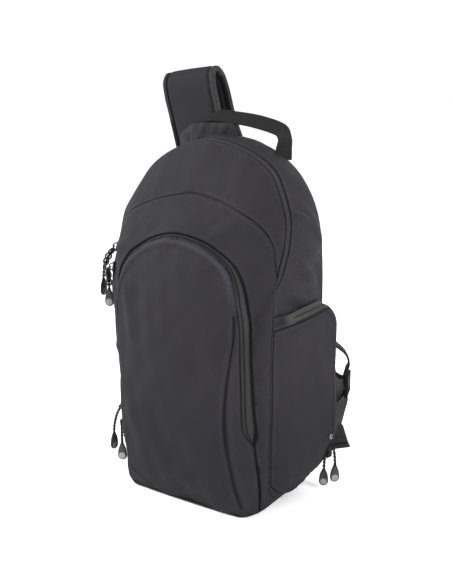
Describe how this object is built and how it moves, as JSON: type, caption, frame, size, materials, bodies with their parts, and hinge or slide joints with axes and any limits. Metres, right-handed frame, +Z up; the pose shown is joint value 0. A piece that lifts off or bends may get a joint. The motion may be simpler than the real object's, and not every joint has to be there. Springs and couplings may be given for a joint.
{
  "type": "fishing rucksack",
  "caption": "Soft one-strap fishing rucksack with an arched main zip, a bulging front pocket, a side pocket, a webbing grab handle and a padded sling strap.",
  "frame": {"origin": "middle of the flat base, on the surface the bag stands on", "axes": "+Z up, the front pocket faces -Y, the side pocket is at +X"},
  "size_m": [0.28, 0.2019, 0.5073],
  "materials": {
    "nylon": "woven",
    "webbing": "ribbed weave",
    "zip_tape": "fine weave",
    "plastic": "satin",
    "metal": "satin",
    "pull": "satin"
  },
  "bodies": {
    "root": {"back_panel": "nylon", "base_panel": "nylon", "crown_panel": "nylon", "front_pocket": "nylon", "front_shell": "nylon", "main_gusset": "nylon", "shoulder_strap": "nylon", "side_pocket_face": "nylon", "side_pocket_gusset": "nylon", "anchor_tab": "nylon", "grab_handle": "webbing", "adjuster_webbing": "webbing", "main_zip_1_cord": "webbing", "main_zip_2_cord": "webbing", "front_zip_1_cord": "webbing", "front_zip_2_cord": "webbing", "side_zip_1_cord": "webbing", "side_zip_2_cord": "webbing", "main_zip_tape": "zip_tape", "front_zip_tape": "zip_tape", "side_zip_tape": "zip_tape", "strap_lock": "plastic", "main_zip_1_slider": "metal", "main_zip_1_ring": "metal", "main_zip_2_slider": "metal", "main_zip_2_ring": "metal", "front_zip_1_slider": "metal", "front_zip_1_ring": "metal", "front_zip_2_slider": "metal", "front_zip_2_ring": "metal", "side_zip_1_slider": "metal", "side_zip_1_ring": "metal", "side_zip_2_slider": "metal", "side_zip_2_ring": "metal", "main_zip_1_tab": "pull", "main_zip_2_tab": "pull", "front_zip_1_tab": "pull", "front_zip_2_tab": "pull", "side_zip_1_tab": "pull", "side_zip_2_tab": "pull"}
  },
  "joints": []
}
